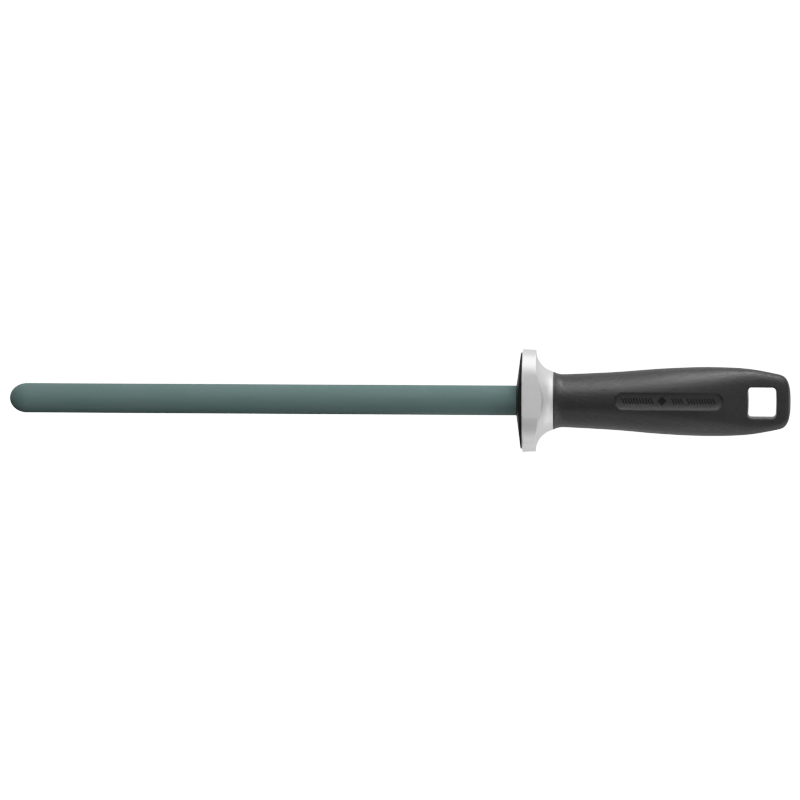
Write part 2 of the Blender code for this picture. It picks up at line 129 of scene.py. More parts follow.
# Grip. Stations are (millimetres behind the joint, value in millimetres), joined by smooth curves.
GRIP_LENGTH = grip_high.x - NOSE_X - JOINT
GRIP_HALF_WIDTH = (
    (0.0, 12.1),
    (6.0, 12.2),
    (27.7, 13.3),
    (49.5, 15.0),
    (69.6, 15.75),
    (87.5, 15.1),
    (101.0, 12.8),
    (107.5, 11.1),
)
GRIP_HALF_DEPTH = (
    (0.0, 12.0),
    (6.0, 12.0),
    (27.7, 12.6),
    (44.0, 13.1),
    (58.0, 13.0),
    (68.0, 12.2),
    (78.0, 10.6),
    (88.0, 8.6),
    (98.0, 7.0),
    (107.5, 6.3),
)
GRIP_SQUARENESS = (
    (0.0, 2.0),
    (27.7, 2.05),
    (49.5, 2.2),
    (66.0, 2.4),
    (76.0, 2.6),
    (85.0, 3.1),
    (92.0, 3.7),
    (99.0, 4.2),
    (107.5, 4.2),
)
COLLAR_RISE = 1.15 * MM
COLLAR_LENGTH = 4.2 * MM
END_LENGTH = 6.5 * MM
END_POWER, END_ROOT = 4, 2.5
END_DEPTH_LENGTH = 2.5 * MM
END_DEPTH_POWER, END_DEPTH_ROOT = 3, 2
GRIP_BORE = 9.5 * MM
GRIP_BORE_END = 43.8 * MM

# Hanging hole and label recess in the grip
HOLE_CENTRE = 94.4 * MM
HOLE_LINE = -0.35 * MM
HOLE_LENGTH = 13.2 * MM
HOLE_WIDTH = 13.8 * MM
HOLE_CORNER = 1.9 * MM
HOLE_BOW = 0.3 * MM
HOLE_FILLET = 0.6 * MM
HOLE_DRAFT = 0.55 * MM
RECESS_START = 27.4 * MM
RECESS_END = 76.8 * MM
RECESS_HALF_WIDTH = 3.95 * MM
RECESS_DEPTH_START = 1.66 * MM
RECESS_DEPTH_END = 1.4 * MM
RECESS_LINE = 0.35 * MM
RECESS_GENTLE_SCOOP = 3.3
RECESS_STEEP_SCOOP = 8.0
RECESS_BLEND = 0.15 * MM

# Marks sunk in the recess's floor: groups of slanted ticks, each (centre of the first tick, count), and a
# lozenge. Places along are from the recess's middle.
MARK_DEPTH = 0.2 * MM
MARK_WALL = 0.09 * MM
TICK_PITCH = 1.3 * MM
TICK_HALF_LENGTH = 1.45 * MM
TICK_HALF_THICKNESS = 0.26 * MM
TICK_CORNER = 0.9 * TICK_HALF_THICKNESS
TICK_SLANT = radians(24)
TICK_GROUPS = ((-20.6 * MM, 11), (2.0 * MM, 4), (8.8 * MM, 10))
LOZENGE_PLACE = -3.0 * MM
LOZENGE_HALF_LENGTH = 2.2 * MM
LOZENGE_HALF_WIDTH = 2.1 * MM

# Fineness. Grid points of the grip nearer than a margin to a ring of its outlines are left out.
ROUND_STEPS = 160
GRIP_SPACING = 0.5 * MM
GRIP_SPACING_ACROSS = 0.6 * GRIP_SPACING
GRIP_SIDE_COUNT = 40
HOLE_FILLET_STEPS = 6
HOLE_WALL_SHARES = (0.2, 0.4, 0.6, 0.8, 0.95)
RECESS_RING_INSETS = (-0.12 * MM, 0.0, 0.15 * MM, 0.4 * MM, 0.8 * MM, 1.3 * MM)
RING_MARGIN = 0.45 * GRIP_SPACING
MARK_MARGIN = 0.25 * RING_MARGIN
SHORTEST_SIDE = 1e-7
SIDE_TOLERANCE = 1.0005
HOLE_TOLERANCE = 0.002 * MM
MERGE_DISTANCE_MM = 1e-6
NEAR_ZERO = 1e-9


# -------------------------------------------------------------------------------- meshes


def add_piece(name, points, faces, material, slot, *nodes):
    """A smooth-shaded piece in the frame's axes that stands for CAD nodes and rides on the one body."""
    mesh = bpy.data.meshes.new(name)
    mesh.from_pydata([tuple(p) for p in points], [], faces)
    mesh.validate()
    mesh.shade_smooth()
    mesh.materials.append(material)
    piece = bpy.data.objects.new(name, mesh)
    bpy.context.scene.collection.objects.link(piece)
    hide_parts(*nodes)
    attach(piece, "root")
    return piece


def keep_share(piece, name, values):
    """Keep a share for a mesh's first points, for its material to read; it is 0 at the others."""
    shares = np.zeros(len(piece.data.vertices), np.float32)
    shares[: len(values)] = values
    piece.data.attributes.new(name, "FLOAT", "POINT").data.foreach_set("value", shares)


def ring_points(u, outline):
    """A ring in the frame's axes from one u, or one for each point, and (y, z) pairs about the axis."""
    outline = np.asarray(outline)
    points = np.empty((len(outline), 3))
    points[:, 0] = NOSE_X + u
    points[:, 1] = outline[:, 0]
    points[:, 2] = AXIS_Z + outline[:, 1]
    return points


def skin_rings(rings, closed):
    """Points and outward quads of rings of equal length. A ring of one point is a pole."""
    points = np.concatenate(rings)
    starts = np.cumsum([0] + [len(ring) for ring in rings])
    pairs = [(k, k + 1) for k in range(len(rings) - 1)]
    if closed:
        pairs.append((len(rings) - 1, 0))
    faces = []
    for a, b in pairs:
        na, nb = len(rings[a]), len(rings[b])
        sa, sb = int(starts[a]), int(starts[b])
        for i in range(max(na, nb)):
            j = (i + 1) % max(na, nb)
            if na == 1:
                faces.append((sa, sb + i, sb + j))
            elif nb == 1:
                faces.append((sa + j, sa + i, sb))
            else:
                faces.append((sa + j, sa + i, sb + i, sb + j))
    return points, faces


def ring_quads(first, second):
    """Quads between two rings of point numbers."""
    count = len(first)
    return [(first[i], first[(i + 1) % count], second[(i + 1) % count], second[i]) for i in range(count)]


def circle(radius, steps=ROUND_STEPS):
    angles = (np.arange(steps) + 0.5) * tau / steps
    return np.stack([radius * np.cos(angles), radius * np.sin(angles)], axis=1)


def turned_rings(profile):
    """Rings of a turned shape from (u, radius) pairs; a zero radius is a pole."""
    return [ring_points(u, circle(r) if r > 0 else np.zeros((1, 2))) for u, r in profile]


def smooth_value(stations, x):
    """Values at x of a smooth curve through (x, value) stations, its slopes taken from their neighbours."""
    xs = np.array([s[0] for s in stations])
    vs = np.array([s[1] for s in stations])
    last = len(xs) - 1
    low = np.maximum(np.arange(last + 1) - 1, 0)
    high = np.minimum(np.arange(last + 1) + 1, last)
    slopes = (vs[high] - vs[low]) / (xs[high] - xs[low])
    x = np.clip(x, xs[0], xs[-1])
    i = np.clip(np.searchsorted(xs, x, side="left") - 1, 0, last - 1)
    span = xs[i + 1] - xs[i]
    t = (x - xs[i]) / span
    rise = vs[i + 1] - vs[i]
    bend_in = slopes[i] * span - rise
    bend_out = rise - slopes[i + 1] * span
    return vs[i] + rise * t + t * (1 - t) * (bend_in * (1 - t) + bend_out * t)


# -------------------------------------------------------------------------------- materials


class Shader:
    """A Principled material with short ways to add and join nodes."""

    def __init__(self, name):
        self.material = bpy.data.materials.new(name)
        self.material.use_nodes = True
        self.tree = self.material.node_tree
        self.main = self.tree.nodes["Principled BSDF"]
        coordinates = self.tree.nodes.new("ShaderNodeTexCoord")
        self.place = coordinates.outputs["Object"]

    def node(self, kind, outputs=None, **inputs):
        made = self.tree.nodes.new(kind)
        for key, value in inputs.items():
            name = key.replace("_", " ")
            socket = made.inputs[name]
            if isinstance(value, bpy.types.NodeSocket):
                self.tree.links.new(value, socket)
            else:
                socket.default_value = value
        return made if outputs is None else made.outputs[outputs]

    def link(self, value, name):
        self.tree.links.new(value, self.main.inputs[name])

    def hold(self, name, value):
        """A fixed value for one of the main shader's inputs."""
        self.main.inputs[name].default_value = value

    def stretched(self, x, y, z):
        """The object's coordinates in millimetres, divided by a length along each axis."""
        scale = (1 / (x * MM), 1 / (y * MM), 1 / (z * MM))
        return self.node("ShaderNodeMapping", "Vector", Vector=self.place, Scale=scale)

    def noise(self, size_mm, detail=2.0, roughness=0.5, place=None):
        place = place or self.stretched(size_mm, size_mm, size_mm)
        return self.node(
            "ShaderNodeTexNoise", "Fac", Vector=place, Scale=1.0, Detail=detail, Roughness=roughness
        )

    def attribute(self, name):
        """A number kept at the mesh's points."""
        made = self.tree.nodes.new("ShaderNodeAttribute")
        made.attribute_name = name
        return made.outputs["Fac"]

    def remap(self, value, low, high, to_low, to_high):
        return self.node(
            "ShaderNodeMapRange",
            "Result",
            Value=value,
            From_Min=low,
            From_Max=high,
            To_Min=to_low,
            To_Max=to_high,
        )

    def math(self, operation, a, b):
        made = self.tree.nodes.new("ShaderNodeMath")
        made.operation = operation
        for socket, value in zip(made.inputs, (a, b)):
            if isinstance(value, bpy.types.NodeSocket):
                self.tree.links.new(value, socket)
            else:
                socket.default_value = value
        return made.outputs["Value"]

    def blend(self, share, first, second):
        """A colour between two colours or colour sockets."""
        made = self.tree.nodes.new("ShaderNodeMix")
        made.data_type = "RGBA"
        self.tree.links.new(share, made.inputs["Factor"])
        for index, colour in ((6, first), (7, second)):
            if isinstance(colour, bpy.types.NodeSocket):
                self.tree.links.new(colour, made.inputs[index])
            else:
                made.inputs[index].default_value = (*colour, 1.0)
        return made.outputs[2]

    def bump(self, height, distance_mm, strength=1.0, normal=None):
        made = self.tree.nodes.new("ShaderNodeBump")
        made.inputs["Distance"].default_value = distance_mm * MM
        made.inputs["Strength"].default_value = strength
        self.tree.links.new(height, made.inputs["Height"])
        if normal is not None:
            self.tree.links.new(normal, made.inputs["Normal"])
        return made.outputs["Normal"]


def ceramic_material():
    s = Shader("green_ceramic")
    cloud = s.noise(22, detail=3)
    streak = s.noise(1, place=s.stretched(30, 2.2, 2.2))
    speck = s.noise(0.35, roughness=0.7)
    tint = s.blend(s.remap(cloud, 0.35, 0.65, 0, 1), (0.111, 0.181, 0.169), (0.121, 0.187, 0.181))
    tint = s.blend(s.remap(streak, 0.35, 0.65, 0, 0.35), tint, (0.101, 0.166, 0.163))
    tint = s.blend(s.remap(speck, 0.35, 0.7, 0, 0.3), tint, (0.147, 0.212, 0.205))
    s.link(tint, "Base Color")
    s.link(s.remap(speck, 0.3, 0.7, 0.52, 0.66), "Roughness")
    ground = s.bump(s.noise(0.22, detail=3, roughness=0.65), 0.03, 0.5)
    s.link(s.bump(streak, 0.02, 0.4, ground), "Normal")
    s.hold("Specular IOR Level", 0.12)
    return s.material


def guard_material():
    s = Shader("satin_alloy")
    cloud = s.noise(9, detail=3)
    grain = s.noise(0.16, detail=3, roughness=0.7)
    tint = s.blend(s.remap(cloud, 0.3, 0.7, 0, 1), (0.83, 0.83, 0.83), (0.88, 0.88, 0.88))
    # Painted shade: a mid grey blended into the colour along the crease between rim and flare
    s.link(s.blend(s.attribute("crease"), tint, (0.5, 0.5, 0.5)), "Base Color")
    s.hold("Metallic", 0.8)
    s.link(s.remap(grain, 0.3, 0.7, 0.38, 0.46), "Roughness")
    s.link(s.bump(grain, 0.02, 0.35), "Normal")
    return s.material


def cover_material():
    s = Shader("cover_black")
    grain = s.noise(0.3, detail=3, roughness=0.6)
    tint = s.blend(s.remap(grain, 0.3, 0.7, 0, 1), (0.002, 0.002, 0.002), (0.005, 0.005, 0.005))
    s.link(tint, "Base Color")
    s.link(s.remap(grain, 0.3, 0.7, 0.45, 0.58), "Roughness")
    s.link(s.bump(grain, 0.02, 0.4), "Normal")
    s.hold("Specular IOR Level", 0.25)
    return s.material


def grip_material():
    s = Shader("grip_black")
    grain = s.noise(0.75, detail=3, roughness=0.6)
    fine = s.noise(0.2, roughness=0.6)
    cloud = s.noise(12)
    recess = s.attribute("recess")
    marks = s.attribute("marks")
    tint = s.blend(s.remap(cloud, 0.3, 0.7, 0, 1), (0.0015, 0.0015, 0.0015), (0.003, 0.003, 0.003))
    tint = s.blend(recess, tint, (0.008, 0.008, 0.008))
    s.link(s.blend(marks, tint, (0.001, 0.001, 0.001)), "Base Color")
    smooth = s.remap(grain, 0.3, 0.7, 0.34, 0.48)
    s.link(s.math("ADD", smooth, s.remap(recess, 0, 1, 0, 0.2)), "Roughness")
    s.link(s.remap(marks, 0, 1, 0.72, 0.3), "Specular IOR Level")
    coarse = s.bump(grain, 0.18, 0.9)
    s.link(s.bump(fine, 0.02, 0.5, coarse), "Normal")
    return s.material


def inner_material(name, colour, roughness, metallic, size_mm):
    """A lightly mottled material for a piece inside the handle."""
    s = Shader(name)
    mottle = s.noise(size_mm, detail=3)
    darker = tuple(0.75 * c for c in colour)
    s.link(s.blend(s.remap(mottle, 0.3, 0.7, 0, 1), darker, colour), "Base Color")
    s.hold("Metallic", metallic)
    s.link(s.remap(mottle, 0.3, 0.7, roughness - 0.06, roughness + 0.06), "Roughness")
    s.link(s.bump(mottle, 0.05, 0.3), "Normal")
    return s.material


# -------------------------------------------------------------------------------- rod


def make_rod():
    profile = [
        (ROD_SEATED, 0.0),
        (ROD_SEATED, ROD_SEAT_RADIUS - ROD_END_CHAMFER),
        (ROD_SEATED - ROD_END_CHAMFER, ROD_SEAT_RADIUS),
        (0.0, ROD_SEAT_RADIUS),
    ]
    dome_start = -ROD_EXPOSED + ROD_DOME_LENGTH
    straight_steps = 60
    for i in range(1, straight_steps):
        share = i / straight_steps
        radius = ROD_SEAT_RADIUS + (ROD_TIP_RADIUS - ROD_SEAT_RADIUS) * share
        profile.append((dome_start * share, radius))
    dome_steps = 28
    for i in range(dome_steps):
        angle = i / dome_steps * pi / 2
        profile.append((dome_start - ROD_DOME_LENGTH * sin(angle), ROD_TIP_RADIUS * cos(angle)))
    profile.append((-ROD_EXPOSED, 0.0))
    points, faces = skin_rings(turned_rings(profile), False)
    return add_piece("rod", points, faces, ceramic_material(), "rod_ceramic", "ceramic_rod")


# -------------------------------------------------------------------------------- guard and cover


def oval(inset=0.0, height_scale=1.0, steps=ROUND_STEPS * 2):
    """The guard's outline as (y, z) points, moved inwards by inset: a superellipse with two flat sides."""
    angles = (np.arange(steps) + 0.5) * tau / steps
    c, s = np.cos(angles), np.sin(angles)
    n = GUARD_EXPONENT
    reach = (np.abs(c / GUARD_HALF_HEIGHT) ** n + np.abs(s / GUARD_HALF_DEPTH) ** n) ** (-1 / n)
    flat = np.abs(s) * reach > GUARD_FLAT
    reach = np.where(flat, GUARD_FLAT / np.maximum(np.abs(s), NEAR_ZERO), reach)
    normal = np.stack(
        [
            np.sign(c) * np.abs(c * reach) ** (n - 1) / GUARD_HALF_HEIGHT**n,
            np.sign(s) * np.abs(s * reach) ** (n - 1) / GUARD_HALF_DEPTH**n,
        ],
        axis=1,
    )
    normal[flat, 0] = 0
    normal /= np.linalg.norm(normal, axis=1, keepdims=True)
    outline = np.stack([c * reach, s * reach], axis=1) - normal * inset
    outline[:, 0] *= height_scale
    return outline


def cone_u(outline):
    """How far back the cover's low cone lies, at each point of an outline."""
    return COVER_SLOPE * np.maximum(0.0, np.hypot(*np.asarray(outline).T) - ROD_SEAT_RADIUS)


def lip_u(outline):
    """How far back the guard's front lip lies, a cone a little flatter than the cover's."""
    return GUARD_LIP_START + GUARD_LIP_SLOPE * (np.hypot(*np.asarray(outline).T) - GUARD_FLAT)


def flare_u(outline):
    """How far back the concave flare behind the rim lies, at each point of an outline."""
    fall = np.clip(FLARE_START_RADIUS - np.hypot(*np.asarray(outline).T), 0, FLARE_RADIUS)
    return GUARD_RIM_END + FLARE_RADIUS - np.sqrt(FLARE_RADIUS**2 - fall**2)


def round_oval(radius):
    return circle(radius, ROUND_STEPS * 2)


def make_guard():
    pocket = oval(COVER_INSET - COVER_GAP)
    rings = []

    def add(u, outline):
        rings.append(ring_points(u, outline))

    # The lip, the rim and the soft edge behind it
    add(lip_u(pocket) + GUARD_LIP_EDGE_DEPTH, pocket)
    lip = oval(COVER_INSET - COVER_GAP - GUARD_LIP_EDGE)
    add(lip_u(lip), lip)
    corner_steps = 8
    for i in range(corner_steps + 1):
        angle = i / corner_steps * pi / 2
        outline = oval(GUARD_CORNER * (1 - sin(angle)))
        add(lip_u(outline) + GUARD_CORNER * (1 - cos(angle)), outline)
    rim_front = lip_u(oval()) + GUARD_CORNER
    rear = oval(0.0, GUARD_DRAFT)
    rim_back = flare_u(rear) - GUARD_SOFT_EDGE
    front = oval()
    rim_steps = 8
    for i in range(1, rim_steps + 1):
        share = i / rim_steps
        add(rim_front + (rim_back - rim_front) * share, front + (rear - front) * share)
    soft_steps = 4
    for i in range(1, soft_steps + 1):
        angle = i / soft_steps * pi / 2
        outline = oval(GUARD_SOFT_INWARDS * (1 - cos(angle)), GUARD_DRAFT)
        add(flare_u(outline) - GUARD_SOFT_BACK * (1 - sin(angle)), outline)

    # The flare, whose outline turns into the joint's circle, with a crease at its start that has painted
    # shade along it
    soft = oval(GUARD_SOFT_INWARDS, GUARD_DRAFT)
    joint_circle = round_oval(1.0)
    crease_shades = {len(rings) - 1: np.ones(len(soft))}
    flare_steps = 48
    start = np.hypot(*soft.T)
    crease = GUARD_CREASE * np.clip(FLARE_START_RADIUS - start, 0, None) / FLARE_RADIUS
    for i in range(1, flare_steps + 1):
        share = i / flare_steps
        radius = start + (JOINT_RADIUS - start) * share
        dip = crease * (1 - np.exp((radius - start) / GUARD_CREASE_LENGTH))
        dip *= (1 - share) ** GUARD_CREASE_FADE
        direction = soft / start[:, None]
        direction = direction + (joint_circle - direction) * share**2
        direction /= np.linalg.norm(direction, axis=1, keepdims=True)
        outline = direction * radius[:, None]
        # Painted shade along the crease, fading out over its width into the flare
        crease_shades[len(rings)] = np.clip(1 + (radius - start) / GUARD_CREASE_SHADE_WIDTH, 0, 1)
        add(flare_u(outline) - dip, outline)

    # The joint's face, the bore and the pocket for the cover
    back_face = JOINT - JOINT_GAP / 2
    rings[-1] = ring_points(back_face - JOINT_CHAMFER, round_oval(JOINT_RADIUS))
    add(back_face, round_oval(JOINT_RADIUS - JOINT_CHAMFER))
    add(back_face, round_oval(GUARD_BORE))
    add(POCKET_FLOOR, round_oval(GUARD_BORE))
    add(POCKET_FLOOR, pocket)
    points, faces = skin_rings(rings, True)
    guard = add_piece("guard", points, faces, guard_material(), "guard_metal", "guard_shell")
    crease_shade_share = np.zeros((len(rings), len(soft)))
    for ring, ring_shade in crease_shades.items():
        crease_shade_share[ring] = ring_shade
    # Shares of painted shade along the crease, for the guard's material to read
    keep_share(guard, "crease", crease_shade_share.ravel())
    return guard


def make_cover():
    bore = ROD_SEAT_RADIUS + COVER_BORE_GAP
    rings = []

    def add(u, outline):
        rings.append(ring_points(u, outline))

    nose_steps = 5
    for i in range(nose_steps + 1):
        angle = i / nose_steps * pi / 2
        add(COVER_NOSE_EDGE * (1 - sin(angle)), round_oval(bore + COVER_NOSE_EDGE * (1 - cos(angle))))
    inner = round_oval(bore + COVER_NOSE_EDGE)
    outer = oval(COVER_INSET + COVER_EDGE)
    face_steps = 24
    for i in range(1, face_steps + 1):
        share = i / face_steps
        outline = inner + (outer - inner) * share
        add(cone_u(outline) - cone_u(inner) * (1 - share) ** COVER_NOSE_EASE, outline)
    edge_steps = 5
    for i in range(1, edge_steps + 1):
        angle = i / edge_steps * pi / 2
        outline = oval(COVER_INSET + COVER_EDGE * (1 - sin(angle)))
        add(cone_u(outline) + COVER_EDGE * (1 - cos(angle)), outline)
    skirt_inner = oval(COVER_INSET + COVER_SKIRT_WALL)
    hub = round_oval(COVER_HUB_RADIUS)
    seat = round_oval(SEAL_SEAT_RADIUS)
    add(COVER_LENGTH, oval(COVER_INSET))
    add(COVER_LENGTH, skirt_inner)
    add(cone_u(skirt_inner) + COVER_WALL, skirt_inner)
    add(cone_u(hub) + COVER_WALL, hub)
    add(COVER_HUB_END, hub)
    add(COVER_HUB_END, seat)
    add(SEAL_SEAT_START, seat)
    add(SEAL_SEAT_START, round_oval(bore))
    points, faces = skin_rings(rings, True)
    return add_piece("front_cap", points, faces, cover_material(), "cover_plastic", "front_cover")


# -------------------------------------------------------------------------------- grip surface


# Columns of the grip's flat points: walked along, walked across, distance behind the joint, y, plain height
ALONG, ACROSS, DISTANCE, SIDE, HEIGHT = range(5)


def end_closure(distance, length, power, root):
    """Share of the full size left at a distance behind the joint, closing over a last stretch."""
    t = np.clip((distance - (GRIP_LENGTH - length)) / length, 0, 1)
    return (1 - t**power) ** (1 / root)


def collar(distance):
    return COLLAR_RISE * np.clip(1 - distance / COLLAR_LENGTH, 0, 1) ** 2


def half_width(distance):
    side = smooth_value(GRIP_HALF_WIDTH, distance / MM) * MM + collar(distance)
    return side * end_closure(distance, END_LENGTH, END_POWER, END_ROOT)


def half_depth(distance):
    side = smooth_value(GRIP_HALF_DEPTH, distance / MM) * MM + collar(distance)
    return side * end_closure(distance, END_DEPTH_LENGTH, END_DEPTH_POWER, END_DEPTH_ROOT)


def squareness(distance):
    return smooth_value(GRIP_SQUARENESS, distance / MM)


def plain_height(distance, y):
    """Height of the grip's upper surface above the axis, before the hole and the recess."""
    power = squareness(distance)
    share = np.clip(np.abs(y) / np.maximum(half_width(distance), NEAR_ZERO), 0, 1)
    return half_depth(distance) * (1 - share**power) ** (1 / power)


def section_walk(distance, steps=400):
    """One quarter of the section from its top to its side: distances walked and the (y, z) there."""
    angle = np.linspace(pi / 2, 0, steps)
    power = 2 / float(squareness(distance))
    y = float(half_width(distance)) * np.cos(angle).clip(0) ** power
    z = float(half_depth(distance)) * np.sin(angle).clip(0) ** power
    walked = np.concatenate([[0], np.cumsum(np.hypot(np.diff(y), np.diff(z)))])
    return walked, y, z


def rounded_box_distance(x, y, half_x, half_y, corner):
    """Signed distance from points to a rounded rectangle, negative inside."""
    dx = np.abs(x) - (half_x - corner)
    dy = np.abs(y) - (half_y - corner)
    outside = np.hypot(np.maximum(dx, 0), np.maximum(dy, 0))
    return outside + np.minimum(np.maximum(dx, dy), 0) - corner


def rounded_box_outline(half_x, half_y, corner, corner_steps, side_steps):
    points = []
    turns = ((1, 1, 0), (-1, 1, 90), (-1, -1, 180), (1, -1, 270))
    for k, (sign_x, sign_y, start) in enumerate(turns):
        centre = np.array([sign_x * (half_x - corner), sign_y * (half_y - corner)])
        for i in range(corner_steps + 1):
            a = radians(start + 90 * i / corner_steps)
            points.append(centre + corner * np.array([cos(a), sin(a)]))
        following = turns[(k + 1) % 4]
        target = np.array([following[0] * (half_x - corner), following[1] * (half_y - corner)])
        a = radians(start + 90)
        target = target + corner * np.array([cos(a), sin(a)])
        here = points[-1]
        for i in range(1, side_steps):
            points.append(here + (target - here) * i / side_steps)
    return np.array(points)


def hole_bow(across):
    """How far the hole's two sides across the grip bow towards the grip's end."""
    return HOLE_BOW * (0.5 - (across / (HOLE_WIDTH / 2)) ** 2)


def hole_distance(distance, y):
    across = y - HOLE_LINE
    x = distance - HOLE_CENTRE - hole_bow(across)
    return rounded_box_distance(x, across, HOLE_LENGTH / 2, HOLE_WIDTH / 2, HOLE_CORNER)


def hole_ring(grow):
    half_x, half_y = HOLE_LENGTH / 2 + grow, HOLE_WIDTH / 2 + grow
    outline = rounded_box_outline(half_x, half_y, HOLE_CORNER + grow, corner_steps=12, side_steps=24)
    outline[:, 0] += HOLE_CENTRE + hole_bow(outline[:, 1])
    outline[:, 1] += HOLE_LINE
    return outline


def hole_drop(distance, y):
    """How far the hole's fillet lowers the surface."""
    t = np.clip(hole_distance(distance, y), 0, HOLE_FILLET)
    return HOLE_FILLET - np.sqrt(np.maximum(HOLE_FILLET**2 - (HOLE_FILLET - t) ** 2, 0))


RECESS_MIDDLE = (RECESS_START + RECESS_END) / 2
RECESS_HALF_LENGTH = (RECESS_END - RECESS_START) / 2


def recess_distance(distance, y):
    return rounded_box_distance(
        distance - RECESS_MIDDLE, y - RECESS_LINE, RECESS_HALF_LENGTH, RECESS_HALF_WIDTH, RECESS_HALF_WIDTH
    )


def recess_ring(grow):
    half_x, half_y = RECESS_HALF_LENGTH + grow, RECESS_HALF_WIDTH + grow
    outline = rounded_box_outline(half_x, half_y, half_y - SHORTEST_SIDE, corner_steps=20, side_steps=1)
    # The sides get points of their own, so that the ring follows the grip's curve along
    dense = []
    for here, there in zip(outline, np.roll(outline, -1, axis=0)):
        pieces = max(1, int(np.linalg.norm(there - here) / GRIP_SPACING))
        dense += [here + (there - here) * i / pieces for i in range(pieces)]
    dense = np.array(dense)
    return dense + (RECESS_MIDDLE, RECESS_LINE)


def recess_floor(distance):
    share = (distance - RECESS_START) / (RECESS_END - RECESS_START)
    depth = RECESS_DEPTH_START + (RECESS_DEPTH_END - RECESS_DEPTH_START) * np.clip(share, 0, 1)
    return half_depth(distance) - depth


def step_share(t, wall):
    """From 0 outside an outline to 1 inside it, across a wall of some width."""
    share = np.clip(0.5 - t / wall, 0, 1)
    return share * share * (3 - 2 * share)


def tick_places():
    """Centres of the ticks, as distances behind the joint."""
    return [RECESS_MIDDLE + first + i * TICK_PITCH for first, count in TICK_GROUPS for i in range(count)]


def tick_turned(x, y, back=False):
    """Places turned from the grip's directions into a tick's own, or back."""
    angle = -TICK_SLANT if back else TICK_SLANT
    return x * cos(angle) + y * sin(angle), y * cos(angle) - x * sin(angle)


def tick_distance(distance, y):
    nearest = np.full(np.shape(distance), 1.0)
    for place in tick_places():
        x, turned_y = tick_turned(distance - place, y - RECESS_LINE)
        found = rounded_box_distance(x, turned_y, TICK_HALF_THICKNESS, TICK_HALF_LENGTH, TICK_CORNER)
        nearest = np.minimum(nearest, found)
    return nearest


def lozenge_distance(distance, y):
    x = np.abs(distance - RECESS_MIDDLE - LOZENGE_PLACE)
    across = np.abs(y - RECESS_LINE)
    length = hypot(LOZENGE_HALF_LENGTH, LOZENGE_HALF_WIDTH)
    reach = LOZENGE_HALF_LENGTH * LOZENGE_HALF_WIDTH
    return (x * LOZENGE_HALF_WIDTH + across * LOZENGE_HALF_LENGTH - reach) / length


def mark_rings():
    """Two nested outlines round each mark, at the foot and the top of its wall."""
    rings = []
    for grow in (MARK_WALL / 2, -MARK_WALL / 2):
        for place in tick_places():
            half_x, half_y = TICK_HALF_THICKNESS + grow, TICK_HALF_LENGTH + grow
            outline = rounded_box_outline(half_x, half_y, TICK_CORNER + grow, corner_steps=4, side_steps=6)
            x, y = tick_turned(outline[:, 0], outline[:, 1], back=True)
            rings.append(np.stack([x + place, y + RECESS_LINE], axis=1))
        length = hypot(LOZENGE_HALF_LENGTH, LOZENGE_HALF_WIDTH)
        reach = 1 + grow * length / (LOZENGE_HALF_LENGTH * LOZENGE_HALF_WIDTH)
        corners = np.array([[1, 0], [0, 1], [-1, 0], [0, -1]], float) * reach
        corners *= (LOZENGE_HALF_LENGTH, LOZENGE_HALF_WIDTH)
        ring = []
        side_steps = 8
        for here, there in zip(corners, np.roll(corners, -1, axis=0)):
            ring += [here + (there - here) * i / side_steps for i in range(side_steps)]
        rings.append(np.array(ring) + (RECESS_MIDDLE + LOZENGE_PLACE, RECESS_LINE))
    return rings


def mark_share(distance, y):
    """1 on the floor of a mark, 0 outside the marks."""
    return step_share(np.minimum(tick_distance(distance, y), lozenge_distance(distance, y)), MARK_WALL)


def scoop_share(distance, y):
    """From 0 at the recess's edge to 1 on its middle line: one side is steep, the other scooped gently."""
    inwards = np.clip(-recess_distance(distance, y) / RECESS_HALF_WIDTH, 0, 1)
    steep = np.clip((y - RECESS_LINE) / RECESS_HALF_WIDTH + 0.5, 0, 1)
    power = RECESS_GENTLE_SCOOP + (RECESS_STEEP_SCOOP - RECESS_GENTLE_SCOOP) * steep
    return 1 - (1 - inwards) ** power


def upper_height(distance, y, plain):
    """Height of the finished upper surface, from its plain height."""
    floor = recess_floor(distance) - MARK_DEPTH * mark_share(distance, y)
    height = plain + (np.minimum(floor, plain) - plain) * scoop_share(distance, y)
    return height - hole_drop(distance, y)


def row_distances():
    """Distances behind the joint of the grid's rows, evenly spaced as walked along the grip's top."""
    end_start = GRIP_LENGTH - END_LENGTH
    before = np.linspace(0, end_start, 2000)
    over_end = end_start + END_LENGTH * np.sin(np.linspace(0, pi / 2, 1500))
    fine = np.concatenate([before, over_end[1:]])
    walked = np.concatenate([[0], np.cumsum(np.hypot(np.diff(fine), np.diff(half_depth(fine))))])
    count = int(walked[-1] / GRIP_SPACING)
    wanted = np.linspace(0, walked[-1], count + 1)
    return np.interp(wanted, walked, fine), wanted, (walked, fine)


def grip_grid():
    """The upper half's rows of flat points, its last point, and the walk along the grip's top."""
    distances, walked_along, (all_walked, all_distances) = row_distances()
    rows = []
    for distance, along in zip(distances[:-1], walked_along[:-1]):
        walked, y, z = section_walk(distance)
        across_count = max(5, min(GRIP_SIDE_COUNT, int(walked[-1] / GRIP_SPACING_ACROSS)))
        across = np.linspace(-walked[-1], walked[-1], 2 * across_count + 1)
        side = np.sign(across)
        row = np.stack(
            [
                np.full_like(across, along),
                across,
                np.full_like(across, distance),
                side * np.interp(np.abs(across), walked, y),
                np.interp(np.abs(across), walked, z),
            ],
            axis=1,
        )
        row[[0, -1], HEIGHT] = 0
        rows.append(row)
    pole = np.array([[walked_along[-1], 0, GRIP_LENGTH, 0, 0]])
    return rows, pole, (all_walked, all_distances)


